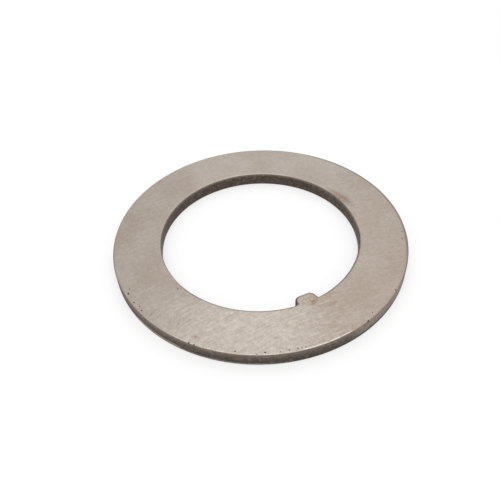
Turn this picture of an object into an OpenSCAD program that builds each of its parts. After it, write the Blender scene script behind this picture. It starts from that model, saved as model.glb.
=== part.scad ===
// Tongued thrust washer: a flat ground ring of plate with one short tongue standing into its bore.
// Millimetres. The washer lies flat: its lower face is at z = 0, the bore runs along Z,
// and the tongue points from the -Y side of the bore towards the axis.

/* [Ring] */
// Outside diameter
outer_d = 98.4; // [80:0.1:120]
// Diameter of the bore
bore_d = 66.6; // [50:0.1:84]
// Thickness from face to face
thickness = 4.95; // [2:0.05:10]

/* [Tongue] */
// Width of the tongue at its root, on the line that the bore would cross it
tongue_w = 7.6; // [6:0.05:10]
// How far the tongue stands into the bore, at its middle
tongue_h = 3.1; // [2.5:0.05:5]
// Radius of the two rounded nose corners
nose_r = 1.8; // [0.8:0.1:2.4]
// Radius of the fillet between each flank and the bore wall
root_r = 0.5; // [0.2:0.05:1]

/* [Edges] */
// Rolled edge of the upper face, round the rim
rim_roll_r = 0.45; // [0.1:0.05:0.8]
// Chamfer of the lower face, round the rim
rim_chamfer = 0.5; // [0.1:0.05:1]
// Rolled edge of the upper face, round the bore and the tongue
bore_roll_r = 0.5; // [0.1:0.05:0.6]
// Chamfer of the lower face, round the bore and the tongue
bore_chamfer = 0.45; // [0.1:0.05:0.6]

/* [Hidden] */
// Steps in a full turn of the rim and the bore, of a corner or a fillet, and of a rounded edge
ring_steps = 240;
corner_steps = 64;
edge_steps = 32;
// How far a cutting shape runs past the surface that it cuts
over = 1;
// How far inside its flanks the tongue's plate stays, which is past the worked edges
lap = 0.9;
// How far the tongue's walls run on into the plate behind them, where they are hidden
seat = 2.5;
// The least straight stretch that is left beside a nose corner
least_flat = 0.05;
// How far the straight walls of the tongue run into the corners next to them, so that both join
hair = 0.00000001;
// The rim, the bore wall and the tip of the tongue, measured from the axis
outer_r = outer_d / 2;
bore_r = bore_d / 2;
tip_y = bore_r - tongue_h;
// The flanks lean together towards the tip: cosine and sine of a flank's lean, and its angle
turn = [0.96, 0.28];
lean = atan2(turn[1], turn[0]);
// How far round from the middle of the tongue a root fillet meets the bore wall, in whole
// thousandths of a degree, which moves a flank by less than 0.0003 mm
root_reach = root_r + turn[0] * tongue_w / 2 - turn[1] * bore_r;
root_angle = round(1000 * (lean + asin(root_reach / (bore_r - root_r)))) / 1000;
// The centre of a root fillet, which touches the bore wall from inside
root_x = (bore_r - root_r) * sin(root_angle);
root_y = (bore_r - root_r) * cos(root_angle);
// What a nose corner of radius 1 takes off the tip, and off a flank, along each
corner_reach = turn[0] / (1 + turn[1]);
// Half the width of the tip, and the straight length of a flank, if the corners were sharp
tip_half = tongue_w / 2 - tongue_h * turn[1] / turn[0];
flank_run = (root_y - tip_y + root_r * turn[1]) / turn[0];
// The nose corners, no larger than the tip and the flanks leave room for
corner_r = floor(1000 * min(nose_r, min(tip_half, flank_run) / corner_reach - least_flat)) / 1000;
flank_l = (root_y - tip_y - corner_r + (root_r + corner_r) * turn[1]) / turn[0];
corner_x = root_x - (root_r + corner_r) * turn[0] - flank_l * turn[1];
corner_y = tip_y + corner_r;
// How far inside its walls the plate of the nose stays, half-way between the edges' own depth
// and the centres of the nose corners
nose_lap = (corner_r + max(bore_roll_r, bore_chamfer)) / 2;

// Sets its children down at x and y in a coarse step and a fine one, which leaves no rounding
module set_at(x, y) {
    near_x = round(100 * x) / 100;
    near_y = round(100 * y) / 100;
    translate([near_x, near_y, 0]) translate([x - near_x, y - near_y, 0]) children();
}

// What an upper edge of radius r takes off a section whose wall stands at x
module upper_round(x, r) {
    translate([x - r, thickness - r]) difference() {
        square(r + over);
        circle(r, $fn = edge_steps);
    }
}

// What a lower chamfer of leg c takes off a section whose wall stands at x
module lower_chamfer(x, c) {
    polygon([[x - c - over, -over], [x + over, -over], [x + over, c + over]]);
}

// Section of plate from x = 0 out to a wall at x, with the edges of the bore and the tongue
module tongue_section(x) {
    difference() {
        square([x, thickness]);
        upper_round(x, bore_roll_r);
        lower_chamfer(x, bore_chamfer);
    }
}

// Section of plate that starts at a wall at x and runs outwards for a length of run
module hole_section(x, run) {
    translate([x + run, 0]) mirror([1, 0]) tongue_section(run);
}

// The ring: its section spun once round the bore axis
module ring() {
    rotate_extrude($fn = ring_steps) difference() {
        hole_section(bore_r, outer_r - bore_r);
        upper_round(outer_r, rim_roll_r);
        lower_chamfer(outer_r, rim_chamfer);
    }
}

// Turns its children through a flank's lean, and back if way is -1
module leaned(way = 1) {
    multmatrix([[turn[0], -way * turn[1], 0, 0], [way * turn[1], turn[0], 0, 0], [0, 0, 1, 0], [0, 0, 0, 1]])
        children();
}

// The fillet that blends a flank into the bore wall, drawn round its own centre
module root_fillet() {
    rotate([0, 0, 180]) rotate_extrude(angle = 90 + root_angle - lean, $fn = corner_steps)
        hole_section(root_r, seat);
}

// One flank, which runs from its root fillet towards the tip
module flank() {
    rotate([90, 0, 180]) linear_extrude(height = flank_l + hair) hole_section(root_r, seat);
}

// One nose corner, from the flank round to the tip
module nose_corner() {
    rotate_extrude(angle = 90 - lean, $fn = corner_steps) tongue_section(corner_r);
}

// The flat of the tip, which runs from a nose corner to past the middle
module tip_flat() {
    translate([-2 * corner_x, 0, 0]) rotate([90, 0, 90])
        linear_extrude(height = 2 * corner_x + hair) tongue_section(corner_r);
}

// Sets its children down at a nose corner's centre, in the frame of the leaned flank
module at_nose() {
    set_at(root_x, -root_y) leaned() translate([-root_r - corner_r, flank_l, 0]) children();
}

// One half of the tongue's walls, cut off at the middle
module half_tongue() {
    set_at(root_x, -root_y) leaned() {
        root_fillet();
        flank();
    }
    at_nose() nose_corner();
    intersection() {
        at_nose() leaned(-1) tip_flat();
        translate([0, -bore_r, -over]) cube([tongue_w, bore_r, thickness + 2 * over]);
    }
}

// The plate in the middle of the tongue: a wide piece that runs on into the ring, and a narrow
// one that joins the flanks to the nose corners and the tip
module tongue_plate() {
    near_x = tongue_w / 2 - lap - (bore_r - corner_y) * turn[1] / turn[0];
    far_x = tongue_w / 2 - lap + seat * turn[1] / turn[0];
    narrow_x = corner_x + corner_r - nose_lap;
    linear_extrude(height = thickness)
        polygon([[-far_x, -bore_r - seat], [far_x, -bore_r - seat], [near_x, -corner_y], [-near_x, -corner_y]]);
    translate([-narrow_x, -bore_r, 0]) cube([2 * narrow_x, bore_r - tip_y - nose_lap, thickness]);
}

module washer() {
    color("#b5aba1") union() {
        ring();
        for (side = [0, 1]) mirror([side, 0, 0]) half_tongue();
        tongue_plate();
    }
}

washer();
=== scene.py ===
"""Looks of the tongued washer: one ground steel ring with a short tongue, on a pale floor."""

import logging
import math
from dataclasses import dataclass
from enum import Enum
from typing import Any, TypeAlias, Union

import bpy
from mathutils import Matrix, Vector


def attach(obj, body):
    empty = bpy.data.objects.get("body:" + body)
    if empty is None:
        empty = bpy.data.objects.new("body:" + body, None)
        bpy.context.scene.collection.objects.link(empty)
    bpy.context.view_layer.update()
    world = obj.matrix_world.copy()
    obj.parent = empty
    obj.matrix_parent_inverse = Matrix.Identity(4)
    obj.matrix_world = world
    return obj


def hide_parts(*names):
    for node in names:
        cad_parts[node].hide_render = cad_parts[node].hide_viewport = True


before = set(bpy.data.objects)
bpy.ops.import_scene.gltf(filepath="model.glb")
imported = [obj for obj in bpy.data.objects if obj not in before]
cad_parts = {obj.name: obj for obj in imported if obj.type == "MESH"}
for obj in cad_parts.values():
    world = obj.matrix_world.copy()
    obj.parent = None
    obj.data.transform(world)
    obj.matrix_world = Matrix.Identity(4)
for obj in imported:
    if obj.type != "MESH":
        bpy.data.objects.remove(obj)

log = logging.getLogger("washer")

Colour: TypeAlias = tuple[float, float, float, float]
Point: TypeAlias = tuple[float, float, float]
Pair: TypeAlias = tuple[float, float]
Number: TypeAlias = Union["Value", float]
Shade: TypeAlias = Union["Value", Colour]

MM = 0.001
# Points closer together than this, in metres, are taken for one point
NEAR = 1e-6
ORIGIN: Point = (0, 0, 0)
X_AXIS: Point = (1, 0, 0)
Z_AXIS: Point = (0, 0, 1)
WHITE: Colour = (1, 1, 1, 1)


def rgb(red: int, green: int, blue: int) -> Colour:
    """Gives a screen colour as the linear colour that a material takes.

    Args:
        red: Red on the screen, 0 to 255.
        green: Green on the screen, 0 to 255.
        blue: Blue on the screen, 0 to 255.

    Returns:
        The linear colour with an alpha of 1.
    """

    def linear(level: int) -> float:
        """Undoes the screen's curve for one level."""
        share = level / 255
        return share / 12.92 if share <= 0.04045 else ((share + 0.055) / 1.055) ** 2.4

    return (linear(red), linear(green), linear(blue), 1.0)


class Value:
    """A node's output, which takes part in plain arithmetic where it carries a number."""

    def __init__(self, graph: "Graph", socket: bpy.types.NodeSocket) -> None:
        """Keeps the socket and the graph that new nodes go into.

        Args:
            graph: The graph.
            socket: The output socket.
        """
        self.graph = graph
        self.socket = socket

    def op(self, operation: str, *others: Number, clamp: bool = False) -> "Value":
        """Adds a Math node whose first input is this number.

        Args:
            operation: The Math node's operation.
            others: The further inputs.
            clamp: Whether the result is kept between 0 and 1.

        Returns:
            The node's result.
        """
        settings = {"operation": operation, "use_clamp": clamp}
        return self.graph.node("ShaderNodeMath", settings, dict(enumerate((self, *others))))

    def __add__(self, other: Number) -> "Value":
        """Adds."""
        return self.op("ADD", other)

    __radd__ = __add__

    def __sub__(self, other: Number) -> "Value":
        """Subtracts."""
        return self.op("SUBTRACT", other)

    def __rsub__(self, other: Number) -> "Value":
        """Subtracts this from a number."""
        return self.op("MULTIPLY", -1.0) + other

    def __mul__(self, other: Number) -> "Value":
        """Multiplies."""
        return self.op("MULTIPLY", other)

    __rmul__ = __mul__

    def power(self, exponent: float) -> "Value":
        """Raises to a power."""
        return self.op("POWER", exponent)

    def clamped(self) -> "Value":
        """Keeps between 0 and 1."""
        return self.op("ADD", 0.0, clamp=True)

    def covered(self, further: "Value") -> "Value":
        """Lays a further cover over what this one leaves open.

        Args:
            further: The further cover, 0 to 1.

        Returns:
            Both covers together, 0 to 1.
        """
        return self + (1 - self) * further

    def step(self, low: float, high: float) -> "Value":
        """Rises smoothly from 0 to 1 between two levels, or falls if low is above high.

        Args:
            low: The level that gives 0.
            high: The level that gives 1.

        Returns:
            The smooth step.
        """
        start, end = (0.0, 1.0) if low < high else (1.0, 0.0)
        levels = {"From Min": min(low, high), "From Max": max(low, high), "To Min": start, "To Max": end}
        settings = {"interpolation_type": "SMOOTHSTEP"}
        return self.graph.node("ShaderNodeMapRange", settings, {"Value": self, **levels})


@dataclass(frozen=True)
class Patch:
    """A soft oval patch on the plate.

    Attributes:
        centre: Its middle, in millimetres.
        reach: Its half length and half width, in millimetres.
        turn: The turn of its length from +X, in degrees.
    """

    centre: Pair
    reach: Pair
    turn: float = 0.0


class Graph:
    """The nodes of one material or of the world."""

    # The share of a patch's reach within which it has its full strength
    PATCH_CORE = 0.15

    def __init__(self, owner: bpy.types.ID, output: str = "ShaderNodeOutputMaterial") -> None:
        """Leaves the owner with nothing but its output node.

        Args:
            owner: The material or the world.
            output: The type of its output node.
        """
        self.owner = owner
        owner.use_nodes = True
        self.tree = owner.node_tree
        self.tree.nodes.clear()
        self.output = self.tree.nodes.new(output)

    @classmethod
    def of_material(cls, name: str) -> "Graph":
        """Starts a new material.

        Args:
            name: The material's name.

        Returns:
            Its graph.
        """
        return cls(bpy.data.materials.new(name))

    def node(self, kind: str, settings: dict[str, Any], inputs: dict[Any, Any], out: Any = 0) -> Value:
        """Adds a node.

        Args:
            kind: The node's type.
            settings: The node's own settings, set first.
            inputs: Values or links by socket name or number.
            out: The name or number of the output to use.

        Returns:
            The chosen output.
        """
        made = self.tree.nodes.new(kind)
        for key, setting in settings.items():
            setattr(made, key, setting)
        for key, given in inputs.items():
            if isinstance(given, Value):
                self.tree.links.new(given.socket, made.inputs[key])
            else:
                made.inputs[key].default_value = given
        return Value(self, made.outputs[out])

    def vector(self, operation: str, first: Value, second: Point, out: str = "Vector") -> Value:
        """Adds a Vector Math node with two inputs.

        Args:
            operation: The node's operation.
            first: The first vector.
            second: The second vector.
            out: The name of the output to use.

        Returns:
            The chosen output.
        """
        return self.node("ShaderNodeVectorMath", {"operation": operation}, {0: first, 1: second}, out)

    def length(self, vector: Value) -> Value:
        """Gives a vector's length."""
        return self.node("ShaderNodeVectorMath", {"operation": "LENGTH"}, {0: vector}, "Value")

    def axis(self, vector: Value, name: str) -> Value:
        """Gives one part of a vector.

        Args:
            vector: The vector.
            name: X, Y or Z.

        Returns:
            The part.
        """
        return self.node("ShaderNodeSeparateXYZ", {}, {"Vector": vector}, name)

    def mapping(self, vector: Value, changes: dict[str, Point]) -> Value:
        """Adds a Mapping node.

        Args:
            vector: The vector to change.
            changes: Its scale, its turn and its shift, by socket name, done in that order.

        Returns:
            The changed vector.
        """
        return self.node("ShaderNodeMapping", {"vector_type": "POINT"}, {"Vector": vector, **changes})

    def place(self) -> Value:
        """Gives the place on the piece, in millimetres."""
        metres = self.node("ShaderNodeTexCoord", {}, {}, "Object")
        return self.mapping(metres, {"Scale": (1 / MM, 1 / MM, 1 / MM)})

    def mapped(self, vector: Value, turn: float, scale: Point, shift: Point = ORIGIN) -> Value:
        """Turns, then stretches and shifts a pattern.

        Args:
            vector: The place to start from.
            turn: The turn about Z in degrees.
            scale: Repeats per millimetre along the turned axes.
            shift: How far the pattern is shifted.

        Returns:
            The place to read the pattern at.
        """
        turned = self.mapping(vector, {"Rotation": (0, 0, math.radians(turn))})
        return self.mapping(turned, {"Scale": scale, "Location": shift})

    def noise(self, vector: Value, scale: float, detail: float = 3.0, rough: float = 0.6) -> Value:
        """Adds noise whose values run from 0 to 1 about 0.5.

        Args:
            vector: The place to read the noise at.
            scale: The noise's scale.
            detail: How many finer layers it has.
            rough: How strong the finer layers are.

        Returns:
            The noise's level.
        """
        inputs = {"Vector": vector, "Scale": scale, "Detail": detail, "Roughness": rough}
        return self.node("ShaderNodeTexNoise", {}, inputs, "Fac")

    def mix(self, share: Number, first: Shade, second: Shade) -> Value:
        """Mixes two colours.

        Args:
            share: How much of the second colour is taken.
            first: The first colour.
            second: The second colour.

        Returns:
            The mixed colour.
        """
        settings = {"data_type": "RGBA", "clamp_factor": True}
        return self.node("ShaderNodeMix", settings, {0: share, 6: first, 7: second}, 2)

    def coats(self, base: Shade, *coats: tuple[Number, Shade]) -> Shade:
        """Lays coats of colour over a base, one after the other.

        Args:
            base: The colour underneath.
            coats: The share and the colour of each coat.

        Returns:
            The colour on top.
        """
        for share, colour in coats:
            base = self.mix(share, base, colour)
        return base

    def blend(self, share: Value, first: Value, second: Value) -> Value:
        """Blends two numbers.

        Args:
            share: How much of the second number is taken.
            first: The first number.
            second: The second number.

        Returns:
            The blended number.
        """
        return self.node("ShaderNodeMix", {"data_type": "FLOAT"}, {0: share, 2: first, 3: second}, 0)

    def spot(self, place: Value, patch: Patch) -> Value:
        """Gives a soft oval patch.

        Args:
            place: The place in millimetres.
            patch: The patch.

        Returns:
            1 at the middle, falling to 0 at the reach.
        """
        moved = self.vector("SUBTRACT", place, (*patch.centre, 0))
        shaped = self.mapped(moved, -patch.turn, (1 / patch.reach[0], 1 / patch.reach[1], 0))
        return self.length(shaped).step(1.0, self.PATCH_CORE)

    def close(self, surface: Value) -> bpy.types.ID:
        """Joins a shader to the output.

        Args:
            surface: The shader.

        Returns:
            The finished material or world.
        """
        self.tree.links.new(surface.socket, self.output.inputs["Surface"])
        return self.owner

    def shade(
        self, colour: Shade, rough: Number, metal: Number, relief: Value, depth: float
    ) -> bpy.types.Material:
        """Closes the graph with its surface shader.

        Args:
            colour: The base colour.
            rough: The roughness.
            metal: How metallic the surface is.
            relief: Height of the relief, 0 to 1.
            depth: What a height of 1 stands for, in millimetres.

        Returns:
            The finished material.
        """
        bump = {"Height": relief, "Distance": depth * MM, "Strength": 1.0}
        normal = self.node("ShaderNodeBump", {}, bump, "Normal")
        inputs = {"Base Color": colour, "Roughness": rough, "Metallic": metal, "Normal": normal}
        return self.close(self.node("ShaderNodeBsdfPrincipled", {}, inputs))


@dataclass(frozen=True)
class Site:
    """What a material reads about the place that it colours, in millimetres.

    Attributes:
        g: The material's graph.
        place: The place on the piece.
        aside: Its X.
        along: Its Y, which is negative on the tongue's side.
        height: Its height over the lower face.
        reach: Its distance from the bore axis.
        flat: How level the surface is, 1 on the faces and 0 on the walls.
        outer: 1 on the rim's side of the plate, 0 on the side of the bore.
    """

    g: Graph
    place: Value
    aside: Value
    along: Value
    height: Value
    reach: Value
    flat: Value
    outer: Value

    @classmethod
    def read(cls, g: Graph) -> "Site":
        """Adds the nodes that read the place.

        Args:
            g: The material's graph.

        Returns:
            What they read.
        """
        place = g.place()
        level = g.node("ShaderNodeTexCoord", {}, {}, "Normal")
        reach = g.length(g.vector("MULTIPLY", place, (1, 1, 0)))
        return cls(
            g=g,
            place=place,
            aside=g.axis(place, "X"),
            along=g.axis(place, "Y"),
            height=g.axis(place, "Z"),
            reach=reach,
            flat=g.axis(level, "Z").op("ABSOLUTE"),
            outer=reach.step(42.0, 43.0),
        )

    def spot(self, patch: Patch) -> Value:
        """Gives a soft oval patch.

        Args:
            patch: The patch.

        Returns:
            1 at its middle, falling to 0 at its reach.
        """
        return self.g.spot(self.place, patch)

    def noise(self, scale: float, detail: float = 3.0, rough: float = 0.6) -> Value:
        """Adds noise that is read at the place itself.

        Args:
            scale: The noise's scale.
            detail: How many finer layers it has.
            rough: How strong the finer layers are.

        Returns:
            The noise's level.
        """
        return self.g.noise(self.place, scale, detail, rough)


@dataclass(frozen=True)
class Lines:
    """One layer of grinding lines.

    Attributes:
        turn: How far it is turned from the main lines, in degrees.
        width: Repeats per millimetre across the lines.
        shift: Where its noise starts.
    """

    turn: float
    width: float
    shift: float


@dataclass(frozen=True)
class GroundSteel:
    """Warm grey plate, ground in nearly parallel lines, with a dark brown skin left on its walls, and
    painted light and shade on its faces, walls and edges.

    Attributes:
        rough: The least roughness of the ground face.
        metal: How metallic the ground face is.
        skin_rough: How much rougher the skin is.
        skin_dull: How much less metallic the skin is.
        relief_depth: How deep the lines and the grain are, in millimetres.
        wheel: The centre of the arcs that the grinding lines follow, in millimetres.
        arc_r: The radius at which a millimetre along an arc has its true length.
        stroke_run: Repeats per millimetre along the lines.
        tongue_half: Half the width of the tongue, about half-way to its tip.
        tongue_h: How far the tongue stands into the bore.
        bore_r: The radius of the bore.
        corner_power: How square the corners are of the line that the tongue's lip follows.
        front_way: The way from the bore axis to the stretch of the rim whose edge has the least skin,
            which leaves it lighter there as painted light.
    """

    face: Colour = rgb(181, 171, 162)
    brown: Colour = rgb(146, 124, 104)
    skin: Colour = rgb(67, 56, 48)
    skin_light: Colour = rgb(114, 98, 85)
    skin_dark: Colour = rgb(52, 44, 38)
    # Pale skin: worn patches and specks, and painted light on the walls
    skin_worn_and_lit: Colour = rgb(146, 131, 118)
    bright: Colour = rgb(217, 210, 202)
    # Fresh steel at the chips, and the painted highlight on the rim's edge
    bare_and_highlight: Colour = rgb(224, 217, 208)
    # How the face and the skin shine
    rough: float = 0.38
    metal: float = 0.85
    skin_rough: float = 0.2
    skin_dull: float = 0.45
    relief_depth: float = 0.012
    # The grinding lines
    wheel: Pair = (-1.6, -170.0)
    arc_r: float = 125.0
    stroke_run: float = 0.12
    main_lines: Lines = Lines(0.0, 2.2, 3.0)
    fine_lines: Lines = Lines(4.0, 3.6, 17.0)
    crossing_lines: Lines = Lines(-9.0, 1.9, 40.0)
    # Where the skin and the painted shade reach onto the edges
    tongue_half: float = 3.45
    tongue_h: float = 3.1
    bore_r: float = 33.3
    corner_power: float = 4.0
    front_way: Point = (-0.42, -0.91, 0)
    tongue_root: Patch = Patch((0, -33.4), (6.5, 4.0))
    # The part where the lines are keenest, a painted sheen and a painted browner shade on the face
    keen_face: Patch = Patch((-20, -36), (42, 28), -22)
    painted_sheen_face: Patch = Patch((-22, -35), (32, 22), -25)
    painted_shade_face: Patch = Patch((22, -36), (34, 18), 30)
    # Stains on the face
    tongue_stain: Patch = Patch((0.9, -32.9), (5.2, 3.4))
    root_spot: Patch = Patch((1.5, -34.5), (2.2, 1.3), 20)
    root_streak: Patch = Patch((5.4, -37.2), (6.4, 1.1), -8)
    root_smear: Patch = Patch((7.4, -34.2), (4.4, 1.6), 6)
    bore_stain: Patch = Patch((34.4, 4.0), (8.4, 2.5), 104)
    rim_spot: Patch = Patch((-35.0, -30.6), (1.8, 0.9), -40)
    rim_smear: Patch = Patch((-42.5, -16.5), (3.5, 1.2), 15)
    scuff: Patch = Patch((-37.5, -22.0), (6.5, 5.0), 30)
    # Lighter parts of the rim: pale lines and painted light on the wall, worn chips and a painted
    # highlight on the edge
    pale_band: Patch = Patch((-44.2, -21.5), (12, 4), -64)
    painted_light_wall: Patch = Patch((19.5, -45.0), (20, 6), 23)
    chipped_edge: Patch = Patch((-37, -32), (15, 5), -50)
    painted_highlight_edge: Patch = Patch((-2.2, -48.8), (11, 5), 3)

    def lanes(self, site: Site) -> Value:
        """Bends the place so that the grinding lines run in wide arcs, as a grinding wheel leaves them.

        Args:
            site: What is read about the place.

        Returns:
            Millimetres along the arcs and across them.
        """
        g = site.g
        moved = g.vector("SUBTRACT", site.place, (*self.wheel, 0))
        run = g.axis(moved, "X").op("ARCTAN2", g.axis(moved, "Y")) * self.arc_r
        return g.node("ShaderNodeCombineXYZ", {}, {"X": run, "Y": g.length(moved)}, "Vector")

    def strokes(self, g: Graph, lanes: Value, lines: Lines) -> Value:
        """Draws one layer of grinding lines as long thin noise.

        Args:
            g: The material's graph.
            lanes: The place along the lines and across them, in millimetres.
            lines: The layer.

        Returns:
            The layer's level, 0 to 1 about 0.5.
        """
        scale = (self.stroke_run, lines.width, 0)
        stretched = g.mapped(lanes, lines.turn, scale, (lines.shift, lines.shift, 0))
        return g.noise(stretched, 1.0, 4.0, 0.65)

    def bore_skin_and_shade(self, site: Site) -> Value:
        """Tells how much skin covers the bore's wall, with painted shade on its edge in front and in a
        thin line beside that edge.

        Args:
            site: What is read about the place.

        Returns:
            0 on the ground face, 1 on the wall.
        """
        # painted shade: the bore's edge darker in front, and a thin darker line beside it on the face
        front = site.along.step(-8.0, -16.0)
        bore = site.g.blend(front, site.flat.step(0.92, 0.25), site.flat.step(1.0, 0.85))
        beside = 1 - site.spot(self.tongue_root).step(0.0, 0.3)
        return bore.covered(front * beside * site.reach.step(34.15, 33.8) * 0.28)

    def tongue_skin_and_shade(self, site: Site) -> Value:
        """Tells how much skin covers the tongue's wall, with painted shade in a band on the lip above
        it, darkest on the left.

        Args:
            site: What is read about the place.

        Returns:
            0 on the ground face, 1 on the wall.
        """
        wide = (site.aside * (1 / self.tongue_half)).op("ABSOLUTE").power(self.corner_power)
        tall = ((site.along + self.bore_r) * (1 / self.tongue_h)).clamped().power(self.corner_power)
        # painted shade: a dark band along the tongue's lip, darkest on the left
        lip = (wide + tall).power(1 / self.corner_power).step(0.76, 0.9)
        return site.flat.step(1.0, 0.9).covered(lip * (0.3 + 0.5 * site.aside.step(1.5, -2.5)))

    def rim_skin_and_shade(self, site: Site) -> Value:
        """Tells how much skin covers the rim's wall, with its edge covered less in front and more at the
        sides and the right, as painted light and shade.

        Args:
            site: What is read about the place.

        Returns:
            0 on the ground face, 1 on the wall.
        """
        # painted light and shade: the rim's edge lighter in front and darker at the sides, darkest on
        # the right
        facing = site.g.vector("DOT_PRODUCT", site.place, self.front_way, "Value")
        rim = site.g.blend(facing.step(16.0, 30.0), site.flat.step(1.0, 0.7), site.flat.step(1.0, 0.5))
        return rim.covered(site.reach.step(48.0, 48.7) * site.aside.step(32.0, 42.0) * 0.6)

    def skin_and_shade_cover(self, site: Site) -> Value:
        """Tells how much of the dark skin covers the surface: all of the walls, and, as painted shade,
        part of their edges.

        Args:
            site: What is read about the place.

        Returns:
            0 on the ground faces, 1 on the walls.
        """
        tongue = site.along.step(-33.6, -33.0) * site.reach.step(33.6, 33.2)
        inner = site.g.blend(tongue, self.bore_skin_and_shade(site), self.tongue_skin_and_shade(site))
        return site.g.blend(site.outer, inner, self.rim_skin_and_shade(site))

    def clouded_face(self, site: Site, mottle: Value, front: Value) -> Shade:
        """Gives the face its wide clouds and its fine grain, with a painted sheen at the front-left,
        painted shade at the front-right and painted light at the back-right.

        Args:
            site: What is read about the place.
            mottle: Fine noise.
            front: 1 where the grinding lines are keenest.

        Returns:
            The face's colour without its lines and stains.
        """
        cloud = site.noise(0.07, 3.0, 0.55).step(0.35, 0.7)
        grain = (mottle - 0.5) * (0.9 + 1.5 * front)
        # painted light: the back-right of the face lighter
        lit_back = site.along.step(5.0, 45.0) * site.aside.step(-35.0, 5.0)
        return site.g.coats(
            self.face,
            (cloud * 0.26, self.brown),
            ((grain * 1.1 + 0.06).clamped(), self.brown),
            ((grain * -1.0 - 0.03).clamped(), self.bright),
            # painted sheen: the front-left of the face lighter, as light falls on it
            (site.spot(self.painted_sheen_face) * 0.26, self.bright),
            # painted shade: the front-right of the face darker and browner
            (site.spot(self.painted_shade_face) * 0.16, self.brown),
            (lit_back * 0.13, self.bright),
        )

    def lined_face(self, g: Graph, face: Shade, lanes: Value, main: Value, keen: Value) -> Shade:
        """Draws the bright and the dark grinding lines on the face.

        Args:
            g: The material's graph.
            face: The face's colour so far.
            lanes: The place along the lines and across them.
            main: The level of the main lines.
            keen: How strong the lines are at the place.

        Returns:
            The face's colour with its lines.
        """
        fine = self.strokes(g, lanes, self.fine_lines)
        crossing = self.strokes(g, lanes, self.crossing_lines)
        bright = main.step(0.56, 0.74) + 0.7 * fine.step(0.56, 0.72) + 0.5 * crossing.step(0.60, 0.74)
        dark = main.step(0.44, 0.28) + 0.7 * fine.step(0.44, 0.28) + 0.6 * crossing.step(0.38, 0.26)
        return g.coats(
            face,
            ((bright * keen * 0.95).clamped(), self.bright),
            ((dark * keen * 0.55).clamped(), self.brown),
        )

    def stained_face(self, site: Site, face: Shade) -> Shade:
        """Lays the brown stains over the face: on the tongue, at its root, at the bore and near the rim.

        Args:
            site: What is read about the place.
            face: The face's colour so far.

        Returns:
            The face's colour with its stains.
        """
        flecks = site.noise(1.6).step(0.38, 0.62)
        root = site.spot(self.root_spot) + 0.6 * site.spot(self.root_streak)
        root = (0.35 + 0.65 * flecks) * root + 0.7 * flecks * site.spot(self.root_smear)
        bore = site.spot(self.bore_stain) * site.noise(0.9).step(0.1, 0.5)
        rim = site.spot(self.rim_spot) + 0.6 * site.spot(self.rim_smear)
        rim = rim * site.noise(1.8).step(0.38, 0.6)
        scratches = site.g.noise(site.g.mapped(site.place, -52.0, (0.2, 2.6, 0)), 1.0).step(0.46, 0.3)
        stains = 0.55 * (site.spot(self.tongue_stain) * flecks) + 0.75 * root + 0.5 * bore + 0.8 * rim
        stains = stains + 0.7 * scratches * site.spot(self.scuff)
        return site.g.coats(face, (stains.clamped(), self.brown), (bore * 0.3, self.skin_light))

    def skin_colour(self, site: Site, mottle: Value) -> Shade:
        """Colours the dark skin, with painted light high on the walls and at the front-right of the rim,
        painted shade low on the rim, and pale lines low on the rim's left.

        Args:
            site: What is read about the place.
            mottle: Fine noise.

        Returns:
            The skin's colour.
        """
        height, rim = site.height, site.outer
        blotch = site.noise(0.6, 4.0, 0.65).step(0.42, 0.72)
        bore_back = (1 - rim) * site.along.step(-16.0, -8.0)
        specks = site.noise(1.3).step(0.62, 0.72) * height.step(1.2, 2.2)
        # pale lines low on the rim's wall, on its left
        foot = rim * site.aside.step(-10.0, -24.0) * height.step(1.25, 1.05) * height.step(0.5, 0.65)
        band = site.spot(self.pale_band).step(0.0, 0.5) * height.step(1.8, 1.55) * height.step(0.8, 1.0)
        # painted light: the front-right of the rim's wall lighter
        pale = site.spot(self.painted_light_wall).step(0.0, 0.6) * height.step(1.0, 2.0) * 0.75
        return site.g.coats(
            self.skin,
            (blotch * 0.5, self.skin_light),
            # painted light: the rim's wall lighter towards its upper edge, with a lighter band at the
            # top
            (rim * height.step(2.4, 4.7) * 0.7, self.skin_light),
            (rim * height.step(3.3, 4.8) * 0.32, self.skin_worn_and_lit),
            # painted shade: the rim's wall darker low down
            (rim * height.step(2.8, 1.3) * 0.75, self.skin_dark),
            # painted light: the bore's back wall lighter towards its upper edge
            (bore_back * height.step(3.6, 4.7) * 0.5, self.skin_worn_and_lit),
            (rim * specks * 0.6, self.skin_worn_and_lit),
            # pale lines low on the left, and painted light at the front-right
            ((foot * 0.7 + band + pale).clamped(), self.skin_worn_and_lit),
            (((mottle - 0.52) * 2.2).clamped(), self.skin_worn_and_lit),
            (((0.52 - mottle) * 2.6).clamped(), self.skin_dark),
        )

    def bare_and_highlight_share(self, site: Site) -> Value:
        """Tells how much of the rim's upper edge is made bright: chips worn into it on the left-front,
        and a painted highlight along the front.

        Args:
            site: What is read about the place.

        Returns:
            0 where the edge is not made bright, up to 1.
        """
        chipped = site.spot(self.chipped_edge) * site.noise(1.1).step(0.40, 0.56) * 0.7
        # painted highlight: a bright line along the rim's upper edge at the front
        painted_highlight = site.spot(self.painted_highlight_edge).step(0.0, 0.5)
        worn = (chipped + painted_highlight).clamped() * site.noise(0.8).step(0.3, 0.5)
        return worn * site.reach.step(48.55, 48.75) * site.flat.step(0.88, 0.97)

    def material(self) -> bpy.types.Material:
        """Makes the washer's main material."""
        g = Graph.of_material("ground_steel")
        site = Site.read(g)
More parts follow.
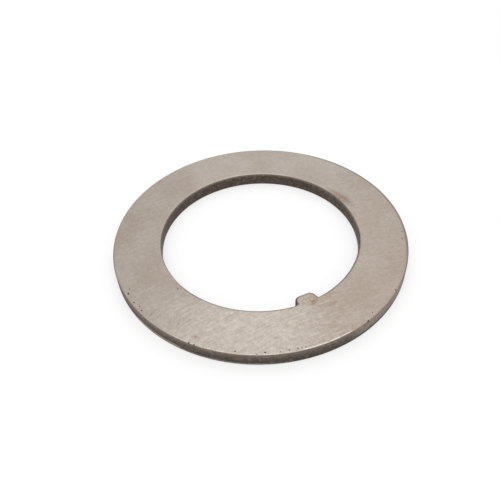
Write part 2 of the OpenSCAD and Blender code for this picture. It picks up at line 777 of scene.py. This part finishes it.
        # skin on the walls, and painted light and shade on the edges
        wall = self.skin_and_shade_cover(site)
        lanes = self.lanes(site)
        main = self.strokes(g, lanes, self.main_lines)
        front = site.spot(self.keen_face)
        keen = 0.35 + 0.65 * front
        mottle = site.noise(0.9, 4.0, 0.7)
        face = self.clouded_face(site, mottle, front)
        face = self.lined_face(g, face, lanes, main, keen)
        face = self.stained_face(site, face)
        colour = g.mix(wall, face, self.skin_colour(site, mottle))
        # fresh steel at the chips, and a painted highlight along the front edge
        colour = g.mix(self.bare_and_highlight_share(site), colour, self.bare_and_highlight)
        uneven = site.noise(0.6, 2.0, 0.5).step(0.2, 0.8) * 0.08
        rough = uneven + self.rough + self.skin_rough * wall
        metal = self.metal - self.skin_dull * wall
        relief = 0.6 * main * keen + 0.4 * mottle
        return g.shade(colour, rough, metal, relief, self.relief_depth)


@dataclass(frozen=True)
class PitDirt:
    """Dark dirt that sits in the dents round the rim."""

    dark: Colour = rgb(58, 48, 41)
    light: Colour = rgb(96, 84, 74)
    rough: float = 0.8
    metal: float = 0.2
    relief_depth: float = 0.02

    def material(self) -> bpy.types.Material:
        """Makes the dents' dark material."""
        g = Graph.of_material("pit_dirt")
        grain = g.noise(g.place(), 3.0)
        colour = g.mix(grain, self.dark, self.light)
        return g.shade(colour, self.rough, self.metal, grain, self.relief_depth)


@dataclass(frozen=True)
class BareSteel:
    """Fresh bright steel where a chip has left the rim."""

    light: Colour = rgb(226, 221, 213)
    dull: Colour = rgb(190, 182, 172)
    rough: float = 0.3
    grain_rough: float = 0.15
    metal: float = 0.9
    relief_depth: float = 0.01

    def material(self) -> bpy.types.Material:
        """Makes the chips' bright material."""
        g = Graph.of_material("bare_steel")
        grain = g.noise(g.place(), 2.5)
        rough = self.rough + self.grain_rough * grain
        return g.shade(g.mix(grain, self.light, self.dull), rough, self.metal, grain, self.relief_depth)


class Mark(Enum):
    """What a mark on the plate is."""

    PIT = "pit"
    CHIP = "chip"


@dataclass(frozen=True)
class Dent:
    """One dent in the upper face or the rim's upper edge.

    Attributes:
        bearing: Its bearing from +X, in degrees.
        reach: Its distance from the bore axis, in millimetres.
        size: Its length and width across, in millimetres.
        kind: Whether it is a dark pit or a bright chip.
    """

    bearing: float
    reach: float
    size: Pair
    kind: Mark = Mark.PIT


def set_mode(mode: str) -> None:
    """Switches the active object's mode.

    Args:
        mode: OBJECT or EDIT.
    """
    bpy.ops.object.mode_set(mode=mode)


def clear_selection() -> None:
    """Leaves edit mode and deselects every object."""
    if bpy.context.object and bpy.context.object.mode != "OBJECT":
        set_mode("OBJECT")
    bpy.ops.object.select_all(action="DESELECT")


def activate(obj: bpy.types.Object) -> None:
    """Selects one object alone and makes it active."""
    clear_selection()
    obj.select_set(True)
    bpy.context.view_layer.objects.active = obj


def apply_modifier(obj: bpy.types.Object, kind: str, **settings: Any) -> None:
    """Adds a modifier and applies it.

    Args:
        obj: The object.
        kind: The modifier's type.
        settings: The modifier's settings.
    """
    activate(obj)
    modifier = obj.modifiers.new(kind.lower(), kind)
    for key, setting in settings.items():
        setattr(modifier, key, setting)
    bpy.ops.object.modifier_apply(modifier=modifier.name)


def slots_at_edges(mesh: bpy.types.Mesh) -> dict[tuple[int, int], list[int]]:
    """Lists the material slots of the faces that meet at each edge.

    Args:
        mesh: The mesh.

    Returns:
        The slots, one for each face, by the edge's key.
    """
    slots: dict[tuple[int, int], list[int]] = {}
    for face in mesh.polygons:
        for key in face.edge_keys:
            slots.setdefault(key, []).append(face.material_index)
    return slots


class Outliner:
    """Draws a chain of edges with extrude and spin, then sweeps it along a path, all in edit mode."""

    def __init__(self, name: str, start: Point) -> None:
        """Starts from a small plane that is merged to one point.

        Args:
            name: The new object's name.
            start: The first point, in millimetres.
        """
        clear_selection()
        bpy.ops.mesh.primitive_plane_add(size=MM, location=[c * MM for c in start])
        self.obj = bpy.context.object
        self.obj.name = name
        bpy.ops.object.transform_apply(location=True, rotation=True, scale=True)
        set_mode("EDIT")
        self.select_all()
        bpy.ops.mesh.merge(type="CENTER")

    def pull(self, x: float, y: float, z: float, steps: int = 1) -> None:
        """Extrudes what is selected along a vector.

        Args:
            x: Millimetres along X.
            y: Millimetres along Y.
            z: Millimetres along Z.
            steps: How many equal pulls it is made of.
        """
        part = [c * MM / steps for c in (x, y, z)]
        for _ in range(steps):
            bpy.ops.mesh.extrude_region_move(TRANSFORM_OT_translate={"value": part})

    def turn(self, degrees: float, steps: int, centre: Point = ORIGIN, axis: Point = Z_AXIS) -> None:
        """Spins what is selected about an axis.

        Args:
            degrees: The turn by the right-hand rule. Spin itself turns the other way.
            steps: How many steps the turn is made of.
            centre: A point on the axis, in millimetres.
            axis: The axis.
        """
        middle = [c * MM for c in centre]
        bpy.ops.mesh.spin(steps=steps, angle=-math.radians(degrees), center=middle, axis=axis)

    def select_all(self) -> None:
        """Selects the whole mesh."""
        bpy.ops.mesh.select_all(action="SELECT")

    def lift(self) -> bpy.types.Object:
        """Leaves edit mode and gives the object."""
        set_mode("OBJECT")
        return self.obj


@dataclass(frozen=True)
class Section:
    """The section of a wall and its worked edges, in millimetres.

    Attributes:
        wall_y: Where the wall stands on Y.
        upper: Radius of the upper edge.
        lower: Leg of the lower chamfer.
        way: 1 if the wall faces +Y, or -1 if it faces -Y.
    """

    wall_y: float
    upper: float
    lower: float
    way: int


@dataclass(frozen=True)
class Washer:
    """The washer's plate: its sizes in millimetres, its mesh and its finish.

    Attributes:
        root_half: Half the width of the tongue at its root.
        lean: How far each flank of the tongue leans in, in degrees.
        land: How much of the faces goes with a wall's section.
        edge_band: A dent within this of the rim bites into the edge.
        edge_depth: How deep the middle of such a dent lies.
        face_rise: How high over the face the middle of any other dent lies.
        edge_bite: The height of an edge dent's pebble.
        face_bite: The height of another dent's pebble.
        pebble_rough: How far a pebble's points are moved at random.
        pebble_even: How evenly they are moved, 0 to 1.
        first_seed: The random seed of the first pebble of a kind.
        sharp_angle: The angle from which an edge stays sharp, in degrees.
    """

    outer_r: float = 49.2
    bore_r: float = 33.3
    thickness: float = 4.95
    root_half: float = 3.8
    lean: float = 16.2602
    tip_y: float = 30.2
    nose_r: float = 1.8
    root_r: float = 0.5
    rim_roll: float = 0.45
    rim_chamfer: float = 0.5
    bore_roll: float = 0.5
    bore_chamfer: float = 0.45
    # Steps of the mesh
    land: float = 1.2
    land_steps: int = 2
    edge_steps: int = 5
    wall_steps: int = 3
    tip_steps: int = 2
    nose_steps: int = 14
    flank_steps: int = 1
    root_steps: int = 8
    bore_steps: int = 220
    face_cuts: int = 8
    # Dents
    edge_band: float = 0.6
    edge_depth: float = 0.12
    face_rise: float = 0.06
    edge_bite: float = 0.5
    face_bite: float = 0.4
    pebble_rough: float = 0.05
    pebble_even: float = 0.6
    first_seed: int = 3
    sharp_angle: float = 35.0
    dents: tuple[Dent, ...] = (
        Dent(185, 47.0, (0.5, 0.4)),
        Dent(187, 48.0, (1.1, 0.6)),
        Dent(192, 48.2, (0.7, 0.4)),
        Dent(195, 47.7, (0.5, 0.4)),
        Dent(197, 48.1, (0.6, 0.5)),
        Dent(198, 35.0, (0.5, 0.4)),
        Dent(220, 48.9, (0.7, 0.4)),
        Dent(222, 48.9, (0.5, 0.4)),
        Dent(236, 48.2, (0.6, 0.5)),
        Dent(246, 48.2, (0.7, 0.5)),
        Dent(251, 48.4, (0.5, 0.4)),
        Dent(254, 48.2, (0.5, 0.4)),
        Dent(257, 48.2, (0.6, 0.4)),
        Dent(258.4, 48.0, (0.4, 0.4)),
        Dent(259.6, 48.3, (0.4, 0.4)),
        Dent(284, 49.0, (0.7, 0.5)),
        Dent(288, 47.8, (0.5, 0.4)),
        Dent(302, 48.7, (0.6, 0.5)),
        Dent(330, 47.4, (0.5, 0.4)),
        Dent(334, 47.8, (0.5, 0.4)),
        Dent(223.3, 48.9, (0.7, 0.4), Mark.CHIP),
        Dent(224.8, 48.9, (0.9, 0.4), Mark.CHIP),
        Dent(228, 48.9, (0.7, 0.4), Mark.CHIP),
        Dent(229.2, 48.9, (0.5, 0.4), Mark.CHIP),
        Dent(243.3, 48.9, (0.8, 0.4), Mark.CHIP),
    )

    def root_angle(self) -> float:
        """Gives how far round from the tongue's middle a root fillet meets the bore, in degrees."""
        lean = math.radians(self.lean)
        reach = self.root_r + math.cos(lean) * self.root_half - math.sin(lean) * self.bore_r
        return self.lean + math.degrees(math.asin(reach / (self.bore_r - self.root_r)))

    def draw_section(self, name: str, section: Section) -> Outliner:
        """Draws the section of a wall, from the upper face down to the lower one.

        Args:
            name: The new object's name.
            section: The section.

        Returns:
            The outliner, with the whole section selected.
        """
        way, upper, lower = section.way, section.upper, section.lower
        pen = Outliner(name, (0, section.wall_y - way * self.land, self.thickness))
        pen.pull(0, way * (self.land - upper), 0, self.land_steps)
        roll_centre = (0, section.wall_y - way * upper, self.thickness - upper)
        pen.turn(-90 * way, self.edge_steps, roll_centre, X_AXIS)
        pen.pull(0, 0, -(self.thickness - upper - lower), self.wall_steps)
        pen.pull(0, -way * lower, -lower)
        pen.pull(0, -way * (self.land - lower), 0, self.land_steps)
        pen.select_all()
        return pen

    def inner_wall(self) -> bpy.types.Object:
        """Sweeps the section round half of the tongue and the bore.

        Returns:
            Half of an open band that holds the walls of the bore and the tongue.
        """
        root_angle = self.root_angle()
        root_x = (self.bore_r - self.root_r) * math.sin(math.radians(root_angle))
        root_y = (self.bore_r - self.root_r) * math.cos(math.radians(root_angle))
        aside, ahead = math.sin(math.radians(self.lean)), math.cos(math.radians(self.lean))
        corner_y = self.tip_y + self.nose_r
        flank = (root_y - corner_y + (self.root_r + self.nose_r) * aside) / ahead
        corner_x = root_x - (self.root_r + self.nose_r) * ahead - flank * aside
        pen = self.draw_section("plate", Section(-self.tip_y, self.bore_roll, self.bore_chamfer, 1))
        pen.pull(corner_x, 0, 0, self.tip_steps)
        pen.turn(self.lean - 90, self.nose_steps, (corner_x, -corner_y, 0))
        pen.pull(flank * aside, -flank * ahead, 0, self.flank_steps)
        pen.turn(90 + root_angle - self.lean, self.root_steps, (root_x, -root_y, 0))
        pen.turn(180 - root_angle, self.bore_steps)
        return pen.lift()

    def rim_wall(self) -> bpy.types.Object:
        """Spins the rim's section round half a turn, in the same steps as the inner wall.

        Returns:
            Half of an open band that holds the rim and its edges.
        """
        tongue_steps = self.tip_steps + self.nose_steps + self.flank_steps + self.root_steps
        root_angle = self.root_angle()
        pen = self.draw_section("rim", Section(-self.outer_r, self.rim_roll, self.rim_chamfer, -1))
        pen.turn(root_angle, tongue_steps)
        pen.turn(180 - root_angle, self.bore_steps)
        return pen.lift()

    def close_face(self, plate: bpy.types.Object, height: float) -> None:
        """Bridges the open edges of the two bands at one height.

        Args:
            plate: The joined bands, in edit mode.
            height: The height of the face, in millimetres.
        """
        bpy.ops.mesh.select_all(action="DESELECT")
        bpy.ops.mesh.select_mode(type="EDGE")
        set_mode("OBJECT")
        mesh = plate.data
        slots = slots_at_edges(mesh)
        for edge in mesh.edges:
            ends = [mesh.vertices[v].co for v in edge.vertices]
            level = all(abs(end.z - height * MM) < NEAR for end in ends)
            middle = all(abs(end.x) < NEAR for end in ends)
            edge.select = level and not middle and len(slots.get(edge.key, [])) == 1
        set_mode("EDIT")
        bpy.ops.mesh.bridge_edge_loops(number_cuts=self.face_cuts, interpolation="LINEAR")

    def plate(self) -> bpy.types.Object:
        """Joins the two half bands, closes the faces between them and mirrors the half.

        Returns:
            The closed plate.
        """
        inner = self.inner_wall()
        rim = self.rim_wall()
        activate(inner)
        rim.select_set(True)
        bpy.ops.object.join()
        set_mode("EDIT")
        self.close_face(inner, self.thickness)
        self.close_face(inner, 0.0)
        set_mode("OBJECT")
        apply_modifier(inner, "MIRROR", use_axis=(True, False, False), merge_threshold=NEAR)
        set_mode("EDIT")
        bpy.ops.mesh.select_all(action="SELECT")
        bpy.ops.mesh.remove_doubles(threshold=NEAR)
        bpy.ops.mesh.normals_make_consistent(inside=False)
        set_mode("OBJECT")
        return inner

    def pebble(self, dent: Dent, seed: int) -> bpy.types.Object:
        """Makes the rough pebble that bites a dent into the plate.

        Args:
            dent: The dent.
            seed: The seed of the pebble's own roughness.

        Returns:
            The pebble, in its place.
        """
        length, width = dent.size
        bearing = math.radians(dent.bearing)
        over_edge = dent.reach > self.outer_r - self.edge_band
        height = self.thickness - (self.edge_depth if over_edge else -self.face_rise)
        clear_selection()
        bpy.ops.mesh.primitive_ico_sphere_add(subdivisions=2, radius=0.5 * MM, location=ORIGIN)
        pebble = bpy.context.object
        set_mode("EDIT")
        bpy.ops.mesh.select_all(action="SELECT")
        bpy.ops.transform.vertex_random(
            offset=self.pebble_rough * MM, uniform=self.pebble_even, seed=seed
        )
        set_mode("OBJECT")
        pebble.scale = (width, length, self.edge_bite if over_edge else self.face_bite)
        pebble.rotation_euler = (0, 0, bearing)
        x, y = dent.reach * math.cos(bearing), dent.reach * math.sin(bearing)
        pebble.location = (x * MM, y * MM, height * MM)
        bpy.ops.object.transform_apply(location=True, rotation=True, scale=True)
        return pebble

    def cut_dents(self, plate: bpy.types.Object, kind: Mark, material: bpy.types.Material) -> None:
        """Cuts the dents of one kind into the plate.

        Args:
            plate: The plate.
            kind: Which dents are cut.
            material: What their floors are made of.
        """
        pebbles: list[bpy.types.Object] = []
        for seed, dent in enumerate((d for d in self.dents if d.kind is kind), self.first_seed):
            pebble = self.pebble(dent, seed)
            pebble.data.materials.append(material)
            pebbles.append(pebble)
        activate(pebbles[0])
        for pebble in pebbles[1:]:
            pebble.select_set(True)
        bpy.ops.object.join()
        tool = bpy.context.object
        cut = {"operation": "DIFFERENCE", "solver": "EXACT", "material_mode": "TRANSFER"}
        apply_modifier(plate, "BOOLEAN", object=tool, **cut)
        bpy.data.objects.remove(tool, do_unlink=True)

    def smooth(self, plate: bpy.types.Object) -> None:
        """Shades the plate smooth, with sharp edges round the dents."""
        activate(plate)
        bpy.ops.object.shade_smooth_by_angle(angle=math.radians(self.sharp_angle))
        mesh = plate.data
        slots = slots_at_edges(mesh)
        for edge in mesh.edges:
            if len(set(slots.get(edge.key, []))) > 1:
                edge.use_edge_sharp = True

    def build(self) -> bpy.types.Object:
        """Makes the whole washer and puts it in the CAD node's place.

        Returns:
            The finished piece.
        """
        plate = self.plate()
        plate.name = "washer_plate"
        plate.data.materials.clear()
        plate.data.materials.append(GroundSteel().material())
        self.cut_dents(plate, Mark.PIT, PitDirt().material())
        self.cut_dents(plate, Mark.CHIP, BareSteel().material())
        self.smooth(plate)
        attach(plate, "root")
        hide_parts("washer")
        return plate


def turned(first: Vector, second: Vector, degrees: float) -> tuple[Vector, Vector]:
    """Turns two directions that stand square to each other, in their own plane.

    Args:
        first: The first direction.
        second: The second direction.
        degrees: How far the first one turns away from the second.

    Returns:
        Both directions after the turn.
    """
    cosine, sine = math.cos(math.radians(degrees)), math.sin(math.radians(degrees))
    return first * cosine - second * sine, first * sine + second * cosine


@dataclass(frozen=True)
class Lamp:
    """One soft square light that faces the washer.

    Attributes:
        name: Its name.
        place: Where it hangs, in metres.
        size: Its side, in metres.
        power: Its power, in watts.
    """

    name: str
    place: Point
    size: float
    power: float

    def hang(self) -> None:
        """Adds the light."""
        clear_selection()
        bpy.ops.object.light_add(type="AREA", location=self.place)
        light = bpy.context.object
        light.name = self.name
        light.data.shape = "SQUARE"
        light.data.size = self.size
        light.data.energy = self.power
        light.rotation_euler = (-Vector(self.place)).to_track_quat("-Z", "Y").to_euler()


@dataclass(frozen=True)
class Studio:
    """The pale floor, the soft lights and the camera.

    Attributes:
        unit: The washer's outer radius, in millimetres, in which the camera's distance is counted.
        elevation: How high the camera stands over the floor, in degrees.
        bearing: How far round it stands from the tongue's side, in degrees.
        distance: How far it stands from the origin, in units.
        aim_right: How far it turns aside from the origin, in degrees.
        aim_up: How far it turns up from the origin, in degrees.
        roll: How far it rolls about its own axis, in degrees.
        lens: Its focal length, in millimetres.
        sensor: The width of its sensor, in millimetres.
        clip: The nearest and the farthest that it sees, in metres.
        sky: The strength of the sky as light.
        floor_size: The side of the floor, in metres.
        floor_colour: The floor's own colour.
        floor_white: How much of the floor's look is plain white.
        lamps: The lights.
    """

    unit: float = 49.2
    elevation: float = 44.0954
    bearing: float = -24.64
    distance: float = 3.91327
    aim_right: float = -1.02882
    aim_up: float = -0.55885
    roll: float = 1.7909
    lens: float = 40.2164
    sensor: float = 36
    clip: Pair = (0.005, 50)
    sky: float = 0.74
    floor_size: float = 6
    floor_colour: Colour = (0.97, 0.97, 0.97, 1)
    floor_white: float = 0.56
    lamps: tuple[Lamp, ...] = (
        Lamp("key", (0.366, 0.529, 0.953), 0.75, 1.2),
        Lamp("fill", (-0.25, -0.45, 1.3), 1.0, 7.0),
    )

    def camera(self) -> None:
        """Puts the camera where the photograph was taken from."""
        rise = math.radians(self.elevation)
        place = self.distance * self.unit * MM * Vector((0, -math.cos(rise), math.sin(rise)))
        ahead = -place.normalized()
        right = Vector(X_AXIS)
        up = right.cross(ahead)
        right, ahead = turned(right, ahead, self.aim_right)
        up, ahead = turned(up, ahead, self.aim_up)
        right, up = turned(right, up, self.roll)
        clear_selection()
        bpy.ops.object.camera_add()
        camera = bpy.context.object
        camera.name = "camera"
        basis = Matrix((right, up, -ahead)).transposed().to_4x4()
        swing = Matrix.Rotation(math.radians(self.bearing), 4, "Z")
        camera.matrix_world = swing @ Matrix.Translation(place) @ basis
        camera.data.sensor_width = self.sensor
        camera.data.lens = self.lens
        camera.data.clip_start, camera.data.clip_end = self.clip
        bpy.context.scene.camera = camera

    def floor(self) -> None:
        """Lays the floor, which shows white and keeps the washer's shadow."""
        clear_selection()
        bpy.ops.mesh.primitive_plane_add(size=self.floor_size, location=ORIGIN)
        floor = bpy.context.object
        floor.name = "floor"
        g = Graph.of_material("floor_white")
        camera_ray = g.node("ShaderNodeLightPath", {}, {}, "Is Camera Ray")
        glossy_ray = g.node("ShaderNodeLightPath", {}, {}, "Is Glossy Ray")
        white = camera_ray.op("MAXIMUM", glossy_ray) * self.floor_white
        plain = g.node("ShaderNodeBsdfDiffuse", {}, {"Color": self.floor_colour})
        glow = g.node("ShaderNodeEmission", {}, {"Color": WHITE, "Strength": 1.0})
        both = g.node("ShaderNodeMixShader", {}, {0: white, 1: plain, 2: glow})
        floor.data.materials.append(g.close(both))

    def world(self) -> None:
        """Sets a plain sky that the camera sees as white."""
        world = bpy.data.worlds.new("sky")
        bpy.context.scene.world = world
        g = Graph(world, "ShaderNodeOutputWorld")
        camera_ray = g.node("ShaderNodeLightPath", {}, {}, "Is Camera Ray")
        lit, seen = (
            g.node("ShaderNodeBackground", {}, {"Color": WHITE, "Strength": strength})
            for strength in (self.sky, 1.0)
        )
        g.close(g.node("ShaderNodeMixShader", {}, {0: camera_ray, 1: lit, 2: seen}))

    def build(self) -> None:
        """Sets up the camera, the floor, the lights and the sky."""
        self.camera()
        self.floor()
        for lamp in self.lamps:
            lamp.hang()
        self.world()
        bpy.context.scene.view_settings.view_transform = "Standard"


def main() -> None:
    """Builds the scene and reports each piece."""
    logging.basicConfig(level=logging.INFO, format="%(name)s: %(message)s")
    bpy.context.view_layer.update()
    Studio().build()
    piece = Washer().build()
    log.info("%s: %d faces", piece.name, len(piece.data.polygons))
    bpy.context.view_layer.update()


if __name__ == "__main__":
    main()
